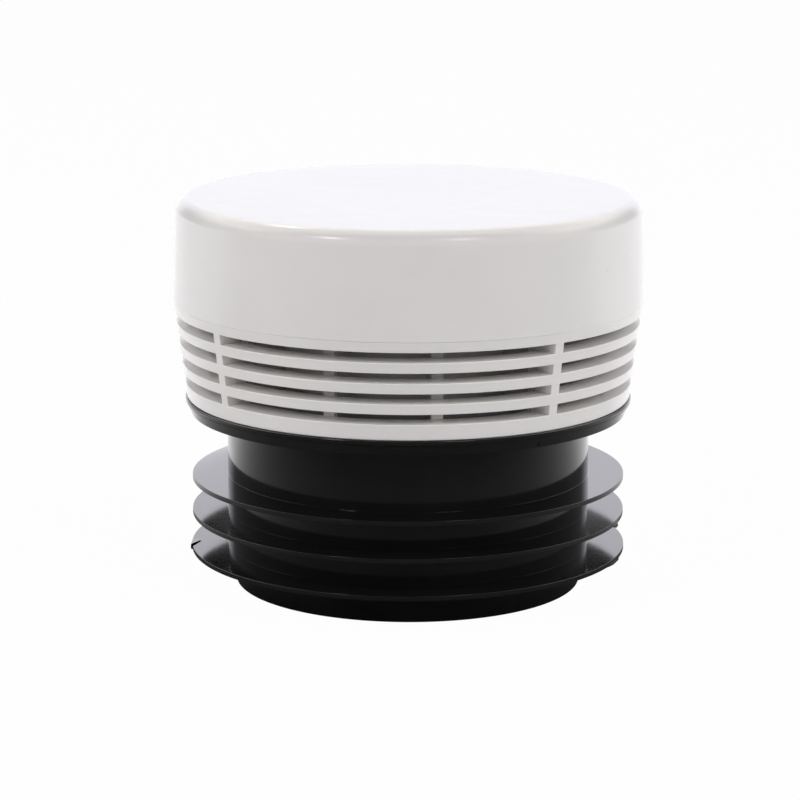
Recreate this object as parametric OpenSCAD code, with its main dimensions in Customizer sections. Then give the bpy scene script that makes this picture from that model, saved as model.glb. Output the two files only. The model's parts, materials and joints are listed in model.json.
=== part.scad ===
// Air admittance valve: a white vented cap over a black finned rubber sleeve.
// The axis is +Z, the foot of the sleeve stands on z = 0, and -Y is the front.
// Radii are chained outwards from the pipe, and heights upwards from the foot.

/* [Rubber sleeve] */
// Outside diameter of the smaller pipe that goes inside the sleeve
pipe_d = 75; // [70:0.5:80]
// How far the inner lips reach past the pipe's surface
lip_squeeze = 1; // [0.5:0.1:2]
// Room between the pipe and the sleeve's inner wall
lip_room = 4.5; // [3:0.1:6]
// Thickness of the sleeve's wall
sleeve_wall = 4; // [3:0.1:5]
// Step from the foot of the sleeve out to its neck
foot_step = 2.1; // [1.5:0.1:4]
// Rounding of the foot's outer edge
foot_round = 0.4; // [0.2:0.1:1.5]
// Number of outer fins
fin_count = 3; // [2:1:4]
// Height of the lowest fin's rim above the foot
fin_low_z = 10.2; // [8:0.1:14]
// Height from one fin's rim to the next
fin_pitch = 9.65; // [8:0.05:12]
// How far a fin reaches out from the neck
fin_reach = 9.4; // [7:0.1:12]
// Thickness of a fin at its rim
fin_rim_t = 0.9; // [0.6:0.1:1.2]
// Thickness of a fin at its root
fin_root_t = 1.5; // [1.2:0.1:2.5]
// How much higher a fin's rim is than its root
fin_rise = 0.1; // [0:0.1:1.5]
// Fillet between the neck and the top of a fin
fin_fillet = 0.3; // [0.2:0.1:1.5]
// Number of inner lips
lip_count = 3; // [2:1:3]
// Height of the lowest inner lip's root above the foot
lip_low_z = 2.5; // [1:0.1:4]
// Height from one inner lip to the next
lip_pitch = 8; // [6:0.1:9]
// How much higher a lip's tip is than its root
lip_rise = 2.5; // [1:0.1:3]
// Thickness of an inner lip at its tip
lip_tip_t = 1.2; // [0.8:0.1:1.5]
// Thickness of an inner lip at its root
lip_root_t = 1.8; // [1.5:0.1:2.5]
// How far the stop over the lips reaches in past the pipe's surface
stop_in = 2; // [1:0.1:3]
// Thickness of that stop
stop_t = 3; // [2:0.1:4]
// Height of the bare neck, from the top fin's rim to the collar
neck_h = 17.25; // [12:0.25:24]
// Fillet between the neck and the collar
neck_fillet = 0.8; // [0.4:0.1:1.5]
// Thickness of the collar
collar_t = 3.65; // [3:0.05:5]
// How far the collar's bead stands out past the housing's foot
collar_out = 0.5; // [0.2:0.1:1]
// Height of the bead along the collar's top edge
bead_h = 1; // [0.6:0.1:1.5]
// Step under the bead
bead_step = 0.35; // [0.2:0.05:0.5]
// How far the collar's side draws in towards its lower edge
collar_taper = 1.05; // [0.4:0.05:2]

/* [Grille housing] */
// How far the spigot goes down into the sleeve
spigot_depth = 22.4; // [18:0.2:24]
// Wall of the spigot
spigot_wall = 3; // [2:0.1:4]
// Radius of the retaining beads on the spigot
hold_bead = 1.4; // [1:0.1:1.6]
// Thickness of the floor
floor_t = 2.8; // [2:0.1:3.6]
// Rounding of the housing's lower edge
housing_round = 0.6; // [0.4:0.1:2.5]
// Depth of the grille's rails, from outside to inside
rail_depth = 5.2; // [3:0.1:6]
// How far the grille flares out from its foot to the seam
flare = 3.4; // [2.4:0.1:5]
// Number of rows of slots
slot_rows = 4; // [3:1:5]
// Height of a slot
slot_h = 2.6; // [1.8:0.05:3.2]
// Height of a rail between two slots
rail_h = 2.75; // [2:0.05:3.5]
// Height of the plain band under the lowest slot
band_h = 4.25; // [3.8:0.05:7]
// Height of the plain band over the highest slot
crown_h = 2.65; // [2.4:0.05:5]
// Number of posts that cross the slots
post_count = 4; // [3:1:6]
// Width of a post
post_w = 2.7; // [2:0.1:4]
// Angle of the first post from +X
post_turn = 37.8; // [0:0.1:90]
// Height of the upstand inside the cap
upstand_h = 5; // [4.4:0.1:7]
// Wall of the upstand
upstand_wall = 2.8; // [1.6:0.1:3]
// Radius of the snap bead on the upstand
snap_bead = 1; // [0.8:0.1:1.2]

/* [Seat body] */
// Wall of the throat tube, which is also the width of the inner seat
throat_wall = 2.2; // [1.6:0.1:3]
// How far the throat tube goes down into the spigot
throat_dip = 15; // [8:0.5:17]
// Width of the ring-shaped air intake around the throat
intake_w = 9; // [7:0.1:11]
// Width of the ledge outside the intake, where the webs end
web_ledge = 2.4; // [2:0.1:6]
// Number of radial webs
web_count = 12; // [8:1:16]
// Thickness of a web
web_t = 2.4; // [1.6:0.1:3]
// Gap from the ends of the webs to the grille's rails
web_gap = 1.3; // [1:0.1:4]
// Height of the seats above the seam
seat_rise = 2.05; // [1.6:0.05:4]
// Width of the outer seat's raised rim
seat_rim_w = 1.6; // [1:0.1:2]
// Height of the outer seat's raised rim
seat_rim_h = 1.6; // [1:0.1:2]
// Thickness of the deck that carries the outer seat
deck_t = 2.4; // [1.6:0.1:3]
// Wall of the chamber around the membrane
chamber_wall = 2.2; // [1.6:0.1:2.6]
// Width of the flange that stands on the floor's gasket
flange_w = 6; // [4:0.1:8]
// Thickness of that flange
flange_t = 2; // [1.6:0.1:3]
// Thickness of the gaskets under the seat body and under the lid
gasket_t = 1.5; // [1:0.1:2]

/* [Membrane and carrier] */
// Lift of the membrane from its seats when the valve is wide open
lift = 8; // [5:0.5:10]
// Thickness of the membrane
membrane_t = 1.6; // [1:0.1:2.4]
// How far the membrane reaches in past the throat's bore
membrane_in = 1.6; // [1:0.1:3]
// How far the membrane stands out past the carrier's edges
membrane_edge = 0.4; // [0.2:0.1:0.8]
// Thickness of the carrier's plate
carrier_t = 2.2; // [1.6:0.1:3]
// Number of spokes of the carrier
spoke_count = 6; // [3:1:8]
// Width of a spoke
spoke_w = 2.6; // [2:0.1:4]
// How far the spokes stand above the plate
spoke_rise = 1.5; // [0.5:0.1:2.5]
// Wall of the carrier's hub
hub_wall = 2.8; // [2:0.1:4]
// How far the hub stands above the plate
hub_rise = 3.2; // [3:0.1:6]
// How far the hub hangs below the plate
hub_drop = 2; // [1:0.1:4]
// Width of the retainer ring under the membrane
retainer_w = 4; // [3.2:0.1:5]
// Thickness of the retainer ring
retainer_t = 1.2; // [0.8:0.1:1.6]
// Radius of the retainer's pegs
peg_r = 1.2; // [0.9:0.1:1.4]
// Height of the pegs' heads
peg_head_h = 0.8; // [0.5:0.1:1.2]

/* [Chamber lid] */
// Thickness of the lid's plate
lid_t = 2; // [1.6:0.1:3]
// Radius of the guide stem
stem_r = 4; // [3:0.1:6]
// Wall of the lips on both sides of the lid's gasket
lid_lip_w = 1.7; // [1:0.1:2]
// How far the inner lip covers the chamber wall
lid_lip_in = 0.8; // [0.5:0.1:1]
// How far the outer lip covers the chamber wall
lid_lip_out = 3; // [1:0.1:4]

/* [Cap] */
// Step from the grille out to the cap
cap_step = 0.15; // [0.05:0.05:0.6]
// Thickness of the cap's side
cap_wall = 2.4; // [1.8:0.1:3]
// Thickness of the cap's top
cap_top_t = 2.4; // [1.8:0.1:3.2]
// Air gap between the lid and the cap's top
air_gap = 5.4; // [4:0.1:9]
// Draft of the cap's side, in degrees
cap_draft = 1.78; // [0.5:0.02:2.5]
// Outer radius of the cap's shoulder
shoulder_r = 3.7; // [3:0.1:5]
// Number of ribs that hold the lid down
cap_ribs = 8; // [4:1:12]
// Thickness of those ribs
cap_rib_t = 1.8; // [1.2:0.1:2.4]

/* [Clearances] */
// Gap between pieces that are pressed together
fit_gap = 0.1; // [0.05:0.01:0.15]
// Gap between pieces that are pushed together
push_gap = 0.2; // [0.1:0.05:0.3]
// Gap between moving pieces and what they meet
run_gap = 0.3; // [0.25:0.05:0.5]
// Gap from the membrane's edge to the chamber wall
side_gap = 0.8; // [0.5:0.1:1.2]
// Gap from the chamber wall to the upstand
wall_gap = 0.4; // [0.2:0.1:0.8]

/* [Hidden] */

$fn = 180;
arc_steps = 8;
edge_steps = 4;
overlap = 0.5; // how far joined sections run into each other
edge_round = 0.15; // rounding of the two edges along the seam

// Radii of the sleeve
lip_r = pipe_d / 2 - lip_squeeze;
stop_r = pipe_d / 2 - stop_in;
sleeve_in_r = pipe_d / 2 + lip_room;
foot_r = sleeve_in_r + sleeve_wall;
neck_r = foot_r + foot_step;
fin_r = neck_r + fin_reach;

// Radii of the spigot and the throat
spigot_hole_r = neck_r - sleeve_wall;
spigot_r = spigot_hole_r - fit_gap;
spigot_in_r = spigot_r - spigot_wall;
throat_out_r = spigot_in_r - push_gap;
throat_r = throat_out_r - throat_wall;
flange_r = throat_out_r + flange_w;

// Radii of the intake, the webs and the grille
intake_r = throat_out_r + intake_w;
web_r = intake_r + web_ledge;
grille_in_r = web_r + web_gap;
grille_low_r = grille_in_r + rail_depth;
grille_top_r = grille_low_r + flare;
post_half = asin(post_w / 2 / (grille_low_r + flare / 2));
collar_r = grille_low_r + collar_out;

// Radii of the cap, its snap and the chamber
cap_r = grille_top_r + cap_step;
upstand_r = cap_r - cap_wall - push_gap;
upstand_in_r = upstand_r - upstand_wall;
chamber_r = upstand_in_r - wall_gap;
chamber_in_r = chamber_r - chamber_wall;

// Radii of the membrane and its carrier
membrane_r = chamber_in_r - side_gap;
membrane_in_r = throat_r - membrane_in;
carrier_r = membrane_r - membrane_edge;
carrier_in_r = membrane_in_r + membrane_edge;
stem_hole_r = stem_r + run_gap;
hub_r = stem_hole_r + hub_wall;
peg_circle_r = throat_out_r + intake_w / 2;
peg_hole_r = peg_r + fit_gap;

// Heights of the sleeve
fin_top_z = fin_low_z + (fin_count - 1) * fin_pitch;
collar_z = fin_top_z + neck_h;
collar_top_z = collar_z + collar_t;
spigot_z = collar_top_z - spigot_depth;
hold_bead_z = collar_top_z - spigot_depth / 2;

// Heights of the grille and the seats
floor_z = collar_top_z + floor_t;
slot_pitch = slot_h + rail_h;
seam_z = collar_top_z + band_h + slot_rows * slot_pitch - rail_h + crown_h;
flare_angle = atan(flare / (seam_z - collar_top_z));
flange_z = floor_z + gasket_t;
seat_z = seam_z + seat_rise;
deck_top_z = seat_z - seat_rim_h;
deck_z = deck_top_z - deck_t;
throat_z = collar_top_z - throat_dip;
upstand_z = seam_z + upstand_h;
snap_z = seam_z + upstand_h * 0.6;

// Heights of the membrane, the carrier and the lid
membrane_z = seat_z + run_gap;
retainer_z = membrane_z - retainer_t;
carrier_z = membrane_z + membrane_t;
plate_z = carrier_z + carrier_t;
hub_z = plate_z + hub_rise;
lid_z = hub_z + lift + run_gap;
lid_top_z = lid_z + lid_t;
chamber_z = lid_z - gasket_t;
stem_z = carrier_z - hub_drop - hub_drop;

// Heights of the cap
cap_z = seam_z + fit_gap;
cap_in_z = lid_top_z + air_gap;
cap_top_z = cap_in_z + cap_top_t;

// Points of an arc about [x, y] from one angle to another
function arc(x, y, r, from, to, steps) =
    [for (i = [0 : steps]) let (a = from + (to - from) * i / steps) [x + r * cos(a), y + r * sin(a)]];

// Radius of the grille's outer face at a height
function grille_at(z) = grille_low_r + (z - collar_top_z) * tan(flare_angle);

// Radius of the cap's outer face at a height, before its shoulder
function cap_at(z) = cap_r - (z - cap_z) * tan(cap_draft);

// Centre of a round of radius r between a drafted side, a wall in from the cap's face, and a level top
function shoulder_centre(wall, top, r) =
    [cap_r - (wall + r + (top - r - cap_z) * sin(cap_draft)) / cos(cap_draft), top - r];

// A ring of rectangular section
module ring(outer, inner, low, high) {
    rotate_extrude()
        translate([inner, low])
            square([outer - inner, high - low]);
}

// A thin plate in the plane of the axis, drawn in radius and height and turned to an angle
module radial_plate(angle, thickness, points) {
    rotate([90, 0, angle])
        linear_extrude(thickness, center = true)
            polygon(points);
}

// Section of one outer fin, with its rim's top edge at height z and a fillet at its root
module fin_section(z) {
    slope = atan(fin_rise / fin_reach);
    root_z = z - fin_rise;
    fillet_z = root_z + fin_fillet / cos(slope) + fin_fillet * tan(slope);
    polygon(concat(
        [[neck_r - overlap, root_z - fin_root_t],
         [neck_r, root_z - fin_root_t],
         [fin_r, z - fin_rim_t],
         [fin_r, z]],
        arc(neck_r + fin_fillet, fillet_z, fin_fillet, 270 + slope, 180, edge_steps),
        [[neck_r - overlap, fillet_z]]));
}

// Section of one inner lip, rising from its root at height z to its tip
module lip_section(z) {
    polygon([[sleeve_in_r + overlap, z + lip_root_t],
             [sleeve_in_r, z + lip_root_t],
             [lip_r, z + lip_rise + lip_tip_t],
             [lip_r, z + lip_rise],
             [sleeve_in_r, z],
             [sleeve_in_r + overlap, z]]);
}

// Section of the sleeve's wall from its foot to its collar
module sleeve_wall_section() {
    step_z = fin_low_z - fin_rise - fin_root_t;
    bead_z = collar_top_z - bead_h;
    polygon(concat(
        [[sleeve_in_r, 0]],
        arc(foot_r - foot_round, foot_round, foot_round, 270, 360, arc_steps),
        [[foot_r, step_z],
         [neck_r, step_z]],
        arc(neck_r + neck_fillet, collar_z - neck_fillet, neck_fillet, 180, 90, edge_steps),
        [[collar_r - bead_step - collar_taper, collar_z],
         [collar_r - bead_step, bead_z],
         [collar_r, bead_z],
         [collar_r, collar_top_z],
         [spigot_hole_r, collar_top_z],
         [spigot_hole_r, spigot_z],
         [stop_r, spigot_z],
         [stop_r, spigot_z - stop_t],
         [sleeve_in_r, spigot_z - stop_t]]));
}

// Finned sleeve: fins seal in the larger pipe's bore, lips seal on the smaller pipe
module rubber_sleeve() {
    color("#16171a")
        rotate_extrude()
            difference() {
                union() {
                    sleeve_wall_section();
                    for (i = [0 : fin_count - 1])
                        fin_section(fin_low_z + i * fin_pitch);
                    for (i = [0 : lip_count - 1])
                        lip_section(lip_low_z + i * lip_pitch);
                }
                translate([spigot_r - hold_bead / 3, hold_bead_z])
                    circle(hold_bead + fit_gap);
            }
}

// Section of the grille housing: spigot, floor, flared wall and upstand
module housing_section() {
    round_x = grille_low_r - housing_round * (1 - sin(flare_angle)) / cos(flare_angle);
    crown_z = seam_z - crown_h;
    polygon(concat(
        [[spigot_in_r, spigot_z],
         [spigot_r, spigot_z],
         [spigot_r, collar_top_z]],
        arc(round_x, collar_top_z + housing_round, housing_round, 270, 360 - flare_angle, arc_steps),
        arc(grille_top_r - edge_round, seam_z - edge_round, edge_round, -flare_angle, 90, edge_steps),
        [[upstand_r, seam_z],
         [upstand_r, upstand_z],
         [upstand_in_r, upstand_z],
         [upstand_in_r, deck_z - wall_gap],
         [grille_at(crown_z) - rail_depth, crown_z],
         [grille_at(floor_z) - rail_depth, floor_z],
         [spigot_in_r, floor_z]]));
    translate([spigot_r - hold_bead / 3, hold_bead_z])
        circle(hold_bead);
    translate([upstand_r - snap_bead / 3, snap_z])
        circle(snap_bead);
}

// One slot of the grille between two posts, with its lower edge at height z
module grille_slot(z, turn) {
    rotate([0, 0, turn + post_half])
        rotate_extrude(angle = 360 / post_count - 2 * post_half)
            translate([web_r, z])
                square([cap_r - web_r + rail_depth, slot_h]);
}

// Lower housing: the louvred wall with its floor and the spigot that the sleeve grips
module grille_housing() {
    color("#e6e4e1")
        difference() {
            rotate_extrude()
                housing_section();
            for (row = [0 : slot_rows - 1], i = [0 : post_count - 1])
                grille_slot(collar_top_z + band_h + row * slot_pitch, post_turn + i * 360 / post_count);
        }
}

// Flat gasket between the floor and the seat body's flange
module floor_gasket() {
    color("#8b8b8d")
        ring(flange_r, throat_out_r + push_gap, floor_z, flange_z);
}

// Section of the throat tube with its flange
module throat_section() {
    polygon([[throat_r, throat_z],
             [throat_out_r, throat_z],
             [throat_out_r, flange_z],
             [flange_r, flange_z],
             [flange_r, flange_z + flange_t],
             [throat_out_r, flange_z + flange_t],
             [throat_out_r, seat_z],
             [throat_r, seat_z]]);
}

// Section of the deck with the outer seat's rim and the chamber wall
module deck_section() {
    rim_r = intake_r + seat_rim_w;
    polygon([[intake_r, deck_z],
             [chamber_r, deck_z],
             [chamber_r, chamber_z],
             [chamber_in_r, chamber_z],
             [chamber_in_r, deck_top_z],
             [rim_r, deck_top_z],
             [rim_r, seat_z],
             [intake_r, seat_z]]);
}

// Throat tube, webs and the two round seats, with the wall of the chamber above them
module seat_body() {
    web_in_r = throat_out_r - throat_wall / 2;
    web_z = flange_z + flange_t / 2;
    color("#c2c1bf")
        union() {
            rotate_extrude()
                throat_section();
            rotate_extrude()
                deck_section();
            for (i = [0 : web_count - 1])
                rotate([0, 0, post_turn + i * 360 / web_count])
                    translate([web_in_r, -web_t / 2, web_z])
                        cube([web_r - web_in_r, web_t, deck_z + deck_t / 2 - web_z]);
        }
}

// Places a child at each of the pegs, half-way between the spokes
module at_pegs() {
    for (i = [0 : spoke_count - 1])
        rotate([0, 0, post_turn + (i + 0.5) * 360 / spoke_count])
            translate([peg_circle_r, 0, 0])
                children();
}

// Ring under the membrane, with pegs that hold it to the carrier
module membrane_retainer() {
    color("#c9c7c2")
        union() {
            ring(peg_circle_r + retainer_w / 2, peg_circle_r - retainer_w / 2, retainer_z, membrane_z);
            at_pegs() {
                translate([0, 0, membrane_z - retainer_t / 2])
                    cylinder(r = peg_r, h = plate_z - membrane_z + retainer_t, $fn = 32);
                translate([0, 0, plate_z])
                    cylinder(r1 = peg_r * 1.6, r2 = peg_r, h = peg_head_h, $fn = 32);
            }
        }
}

// Soft ring that lies over both seats and closes the intake
module membrane() {
    color("#8f3b34")
        difference() {
            ring(membrane_r, membrane_in_r, membrane_z, carrier_z);
            at_pegs()
                translate([0, 0, membrane_z - overlap])
                    cylinder(r = peg_hole_r, h = membrane_t + 2 * overlap, $fn = 32);
        }
}

// Plate that carries the membrane, with spokes and a hub that slides on the stem
module membrane_carrier() {
    spoke_in_r = hub_r - hub_wall / 2;
    spoke_low_z = carrier_z + carrier_t / 4;
    spoke_points = [[spoke_in_r, spoke_low_z],
                    [peg_circle_r, spoke_low_z],
                    [peg_circle_r, plate_z - carrier_t / 4],
                    [carrier_in_r, plate_z + spoke_rise],
                    [spoke_in_r, plate_z + spoke_rise]];
    color("#d4d3cf")
        difference() {
            union() {
                ring(carrier_r, carrier_in_r, carrier_z, plate_z);
                ring(hub_r, stem_hole_r, carrier_z - hub_drop, hub_z);
                for (i = [0 : spoke_count - 1])
                    radial_plate(post_turn + i * 360 / spoke_count, spoke_w, spoke_points);
            }
            at_pegs()
                translate([0, 0, carrier_z - overlap])
                    cylinder(r = peg_hole_r, h = carrier_t + 2 * overlap, $fn = 32);
        }
}

// Lid over the chamber, with the guide stem and a channel for the gasket
module chamber_lid() {
    lip_in_r = chamber_in_r - push_gap;
    lip_out_r = chamber_r + push_gap;
    lid_r = lip_out_r + lid_lip_w;
    tip_z = stem_z - stem_r / 2;
    color("#c2c1bf")
        rotate_extrude()
            polygon([[0, tip_z],
                     [stem_r / 2, tip_z],
                     [stem_r, stem_z],
                     [stem_r, lid_z],
                     [lip_in_r - lid_lip_w, lid_z],
                     [lip_in_r - lid_lip_w, chamber_z - lid_lip_in],
                     [lip_in_r, chamber_z - lid_lip_in],
                     [lip_in_r, lid_z],
                     [lip_out_r, lid_z],
                     [lip_out_r, chamber_z - lid_lip_out],
                     [lid_r, chamber_z - lid_lip_out],
                     [lid_r, lid_top_z],
                     [0, lid_top_z]]);
}

// Gasket in the lid's channel, on top of the chamber wall
module lid_gasket() {
    color("#8b8b8d")
        ring(chamber_r, chamber_in_r, chamber_z, lid_z);
}

// Section of the cap's shell: drafted side, round shoulder, flat top and snap groove
module cap_section() {
    inner_r = max(shoulder_r - cap_top_t, edge_round);
    outer_c = shoulder_centre(0, cap_top_z, shoulder_r);
    inner_c = shoulder_centre(cap_wall, cap_in_z, inner_r);
    difference() {
        polygon(concat(
            arc(cap_r - edge_round, cap_z + edge_round, edge_round, 270, 360 + cap_draft, edge_steps),
            arc(outer_c.x, outer_c.y, shoulder_r, cap_draft, 90, arc_steps),
            [[0, cap_top_z],
             [0, cap_in_z]],
            arc(inner_c.x, inner_c.y, inner_r, 90, cap_draft, edge_steps),
            [[cap_r - cap_wall, cap_z]]));
        translate([upstand_r - snap_bead / 3, snap_z])
            circle(snap_bead + push_gap);
    }
}

// Plain cap that snaps over the upstand, with ribs that press the lid down
module cap() {
    rib_end_r = cap_at(cap_in_z) - cap_wall - shoulder_r;
    color("#efedea")
        union() {
            rotate_extrude()
                cap_section();
            for (i = [0 : cap_ribs - 1])
                radial_plate(post_turn + i * 360 / cap_ribs, cap_rib_t,
                    [[hub_r, lid_top_z + fit_gap],
                     [rib_end_r, lid_top_z + fit_gap],
                     [rib_end_r, cap_in_z + cap_top_t / 2],
                     [hub_r, cap_in_z + cap_top_t / 2]]);
        }
}

rubber_sleeve();
grille_housing();
floor_gasket();
seat_body();
membrane_retainer();
membrane();
membrane_carrier();
chamber_lid();
lid_gasket();
cap();
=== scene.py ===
import json
import math

import bpy
import numpy as np
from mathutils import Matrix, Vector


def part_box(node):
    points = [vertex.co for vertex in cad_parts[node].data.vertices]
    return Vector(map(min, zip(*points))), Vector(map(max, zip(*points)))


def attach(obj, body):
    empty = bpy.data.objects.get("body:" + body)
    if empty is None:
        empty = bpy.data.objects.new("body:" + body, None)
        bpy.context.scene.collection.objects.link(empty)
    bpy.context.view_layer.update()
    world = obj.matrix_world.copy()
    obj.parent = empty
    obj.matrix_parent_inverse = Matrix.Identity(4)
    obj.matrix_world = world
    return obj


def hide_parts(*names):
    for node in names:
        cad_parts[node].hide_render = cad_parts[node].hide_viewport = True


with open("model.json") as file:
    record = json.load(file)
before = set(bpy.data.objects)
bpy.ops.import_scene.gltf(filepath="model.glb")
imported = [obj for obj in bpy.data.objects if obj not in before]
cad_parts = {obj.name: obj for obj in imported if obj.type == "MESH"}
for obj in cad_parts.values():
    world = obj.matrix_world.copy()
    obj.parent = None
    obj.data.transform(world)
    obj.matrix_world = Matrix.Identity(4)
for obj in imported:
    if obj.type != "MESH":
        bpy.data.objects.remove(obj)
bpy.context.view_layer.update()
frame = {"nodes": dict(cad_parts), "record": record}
scene = bpy.context.scene
mm = 0.001   # shapes are worked out in millimetres and made in metres
print("frame loaded:", ", ".join(sorted(frame["nodes"])))


# Outlines in radius and height, and what carries them round the axis

def arcPoints(centre, radius, startAngle, endAngle, steps):
    # points at equal angles on a circle about centre, angles in degrees
    angles = np.radians(np.linspace(startAngle, endAngle, steps + 1))
    return np.stack([centre[0] + radius * np.cos(angles), centre[1] + radius * np.sin(angles)], axis=1)


def roundedOutline(corners, closed=True, steps=6, guard=0.12, sharpFillet=0.5):
    # each corner (radius, height, fillet) becomes an arc tangent to both of its sides, with a guard point
    # just outside each end of the arc so that the flats shade flat; the third column tells how sharp the
    # edge is, up to 1 on a ridge and down to -1 in a crease, and is full for fillets up to sharpFillet
    points = np.array([corner[:2] for corner in corners], float)
    outline = []
    for index, corner in enumerate(corners):
        here = points[index]
        fillet = corner[2] if len(corner) > 2 else 0.0
        if fillet <= 0 or (not closed and index in (0, len(corners) - 1)):
            outline.append(np.append(here, 0.0)[None, :])
            continue
        toLast = points[index - 1] - here
        toNext = points[(index + 1) % len(points)] - here
        lastLength, nextLength = np.linalg.norm(toLast), np.linalg.norm(toNext)
        toLast, toNext = toLast / lastLength, toNext / nextLength
        halfAngle = math.acos(np.clip(toLast @ toNext, -1, 1)) / 2
        reach = fillet / math.tan(halfAngle)
        bisector = toLast + toNext
        centre = here + bisector / np.linalg.norm(bisector) * fillet / math.sin(halfAngle)
        first, final = here + toLast * reach - centre, here + toNext * reach - centre
        startAngle = math.degrees(math.atan2(first[1], first[0]))
        turn = math.degrees(math.atan2(first[0] * final[1] - first[1] * final[0], first @ final))
        arc = arcPoints(centre, fillet, startAngle, startAngle + turn, steps)
        sharpness = math.copysign(min(1.0, sharpFillet / fillet), turn)
        guardBefore = here + toLast * min(reach + guard, (reach + lastLength) / 2)
        guardAfter = here + toNext * min(reach + guard, (reach + nextLength) / 2)
        outline.append(np.append(guardBefore, 0.0)[None, :])
        outline.append(np.column_stack([arc, np.full(len(arc), sharpness)]))
        outline.append(np.append(guardAfter, 0.0)[None, :])
    return np.concatenate(outline)


def rowAt(outline, radius, height):
    # index of the outline point nearest to a radius and height
    return int(np.hypot(outline[:, 0] - radius, outline[:, 1] - height).argmin())


def gridFaces(rows, columns, wrapRows=False, wrapColumns=True):
    # quads between neighbouring rows and columns of a grid whose vertices run along each row
    row = np.arange(rows if wrapRows else rows - 1)
    column = np.arange(columns if wrapColumns else columns - 1)
    r, c = np.meshgrid(row, column, indexing="ij")
    rNext, cNext = (r + 1) % rows, (c + 1) % columns
    corners = [r * columns + c, r * columns + cNext, rNext * columns + cNext, rNext * columns + c]
    return np.stack(corners, axis=-1)


def aroundAxis(radius, angle, height):
    # x = r cos(angle), y = r sin(angle), z = height, angle in degrees
    angle = np.radians(angle)
    return np.stack(np.broadcast_arrays(radius * np.cos(angle), radius * np.sin(angle), height), axis=-1)


def radialPlates(count, turn, width, inner, outer, low, high):
    # upright plates in planes through the axis, evenly round it: a corner at radius r and s to the side
    # lies at x = r cos(angle) - s sin(angle), y = r sin(angle) + s cos(angle)
    outline = [(inner, low), (outer, low), (outer, high), (inner, high)]
    corners = [(corner[0], side * width / 2, corner[1]) for side in (-1, 1) for corner in outline]
    r, s, z = np.array(corners).T
    angle = np.radians(turn + np.arange(count)[:, None] * 360 / count)
    points = np.stack([r * np.cos(angle) - s * np.sin(angle), r * np.sin(angle) + s * np.cos(angle),
                       z + 0 * angle], axis=-1)
    flats = [(0, 1, 2, 3), (7, 6, 5, 4)]
    edges = [(k, 4 + k, 4 + (k + 1) % 4, (k + 1) % 4) for k in range(4)]
    return points, np.array(flats + edges) + np.arange(count)[:, None, None] * 8


def makePiece(name, points, faces, edges, material, sharpAngle=40, torn=None, sameWithin=1e-4):
    # a mesh object at the origin with its place in its points: points at one place become one,
    # and quads that lose a corner that way become triangles
    points, faces, edges = points.reshape(-1, 3), faces.reshape(-1, 4), np.asarray(edges, float).reshape(-1)
    torn = np.zeros(len(edges)) if torn is None else np.asarray(torn, float).reshape(-1)
    keys = np.round(points / sameWithin).astype(np.int64)
    _, firstUse, newIndex = np.unique(keys, axis=0, return_index=True, return_inverse=True)
    faces = newIndex.reshape(-1)[faces]
    same = faces == np.roll(faces, -1, axis=1)
    pinched = faces[same.sum(axis=1) == 1]
    lost = same[same.sum(axis=1) == 1].argmax(axis=1)
    triangles = np.take_along_axis(pinched, (lost[:, None] + np.array([1, 2, 3])) % 4, axis=1)
    mesh = bpy.data.meshes.new(name)
    mesh.from_pydata((points[firstUse] * mm).tolist(), [],
                     faces[~same.any(axis=1)].tolist() + triangles.tolist())
    # masks: edge tells ridges from creases, for rubbing with painted highlight on ridges and for dust in
    # creases, and torn is raw rubber
    for maskName, values in (("edge", edges), ("torn", torn)):
        layer = mesh.attributes.new(maskName, "FLOAT", "POINT")
        layer.data.foreach_set("value", values[firstUse].astype(np.float32))
    mesh.polygons.foreach_set("use_smooth", np.ones(len(mesh.polygons), bool))
    mesh.set_sharp_from_angle(angle=math.radians(sharpAngle))
    mesh.materials.append(material)
    piece = bpy.data.objects.new(name, mesh)
    scene.collection.objects.link(piece)
    print(name, "has", len(mesh.vertices), "vertices and", len(mesh.polygons), "faces")
    return piece


# Finishes: shared effects as node groups, then one material for each

def addNode(tree, kind, values=None, **settings):
    node = tree.nodes.new(kind)
    for setting, value in settings.items():
        setattr(node, setting, value)
    for socket, value in (values or {}).items():
        node.inputs[socket].default_value = value
    return node


def addRamp(tree, start, end, low=0.0, high=1.0, smooth=False):
    # low up to start, high from end on, and a line or a smooth step between
    return addNode(tree, "ShaderNodeMapRange",
                   {"From Min": start, "From Max": end, "To Min": low, "To Max": high},
                   interpolation_type="SMOOTHSTEP" if smooth else "LINEAR")


def link(tree, *pairs):
    # joins each output to the input beside it
    for output, socket in pairs:
        tree.links.new(output, socket)


def newGroup(name, inputs, outputs):
    # an empty group with its sockets; inputs are (name, kind, value)
    group = bpy.data.node_groups.new(name, "ShaderNodeTree")
    for socketName, kind, value in inputs:
        socket = group.interface.new_socket(name=socketName, in_out="INPUT", socket_type=kind)
        if value is not None:
            socket.default_value = value
    for socketName in outputs:
        group.interface.new_socket(name=socketName, in_out="OUTPUT", socket_type="NodeSocketFloat")
    return group, group.nodes.new("NodeGroupInput"), group.nodes.new("NodeGroupOutput")


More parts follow.
